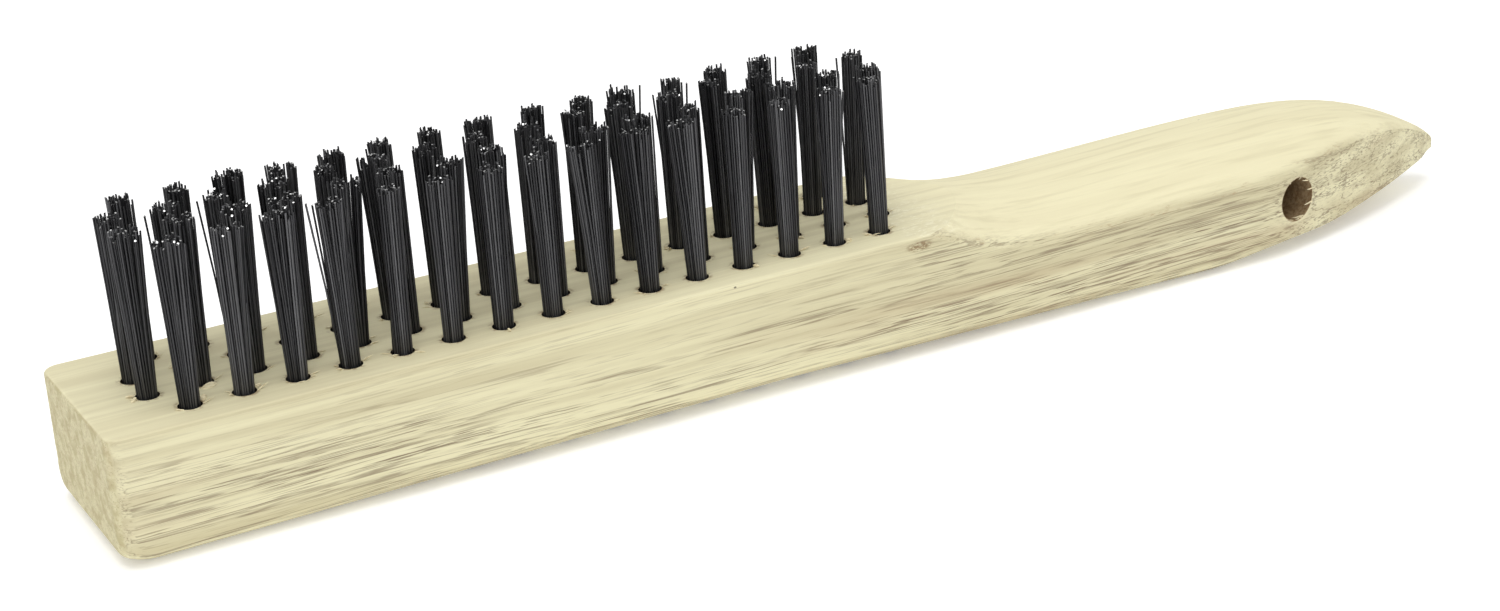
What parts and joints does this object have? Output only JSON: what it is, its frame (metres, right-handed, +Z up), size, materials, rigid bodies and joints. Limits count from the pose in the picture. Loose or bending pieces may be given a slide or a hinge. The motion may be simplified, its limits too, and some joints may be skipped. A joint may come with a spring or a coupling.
{
  "type": "wire scratch brush",
  "caption": "Wire scratch brush: stiff dark steel wire tufts set in staggered rows in a one-piece wooden block with a crowned shoe handle and a hang hole.",
  "frame": {"origin": "under the middle of the brush's length and width, on the surface that its back rests on", "axes": "+X along the brush from the toe to the tip of the handle, +Y across it, +Z up from the back to the wires"},
  "size_m": [0.26, 0.0348, 0.0481],
  "materials": {
    "wood": "raw unfinished pale hardwood, sanded, open straight grain",
    "wire_steel": "dark oil-tempered carbon steel wire, satin sheen, bright cut ends",
    "anchor_steel": "plain drawn flat steel wire"
  },
  "bodies": {
    "root": {"wood_block": "wood", "outer_tufts_01": "wire_steel", "outer_tufts_02": "wire_steel", "outer_tufts_03": "wire_steel", "outer_tufts_04": "wire_steel", "outer_tufts_05": "wire_steel", "outer_tufts_06": "wire_steel", "outer_tufts_07": "wire_steel", "outer_tufts_08": "wire_steel", "outer_tufts_09": "wire_steel", "outer_tufts_10": "wire_steel", "outer_tufts_11": "wire_steel", "outer_tufts_12": "wire_steel", "outer_tufts_13": "wire_steel", "outer_tufts_14": "wire_steel", "outer_tufts_15": "wire_steel", "inner_tufts_01": "wire_steel", "inner_tufts_02": "wire_steel", "inner_tufts_03": "wire_steel", "inner_tufts_04": "wire_steel", "inner_tufts_05": "wire_steel", "inner_tufts_06": "wire_steel", "inner_tufts_07": "wire_steel", "inner_tufts_08": "wire_steel", "inner_tufts_09": "wire_steel", "inner_tufts_10": "wire_steel", "inner_tufts_11": "wire_steel", "inner_tufts_12": "wire_steel", "inner_tufts_13": "wire_steel", "inner_tufts_14": "wire_steel", "inner_tufts_15": "wire_steel", "inner_tufts_16": "wire_steel", "anchors_row_1": "anchor_steel", "anchors_row_2": "anchor_steel", "anchors_row_3": "anchor_steel", "anchors_row_4": "anchor_steel"}
  },
  "joints": []
}
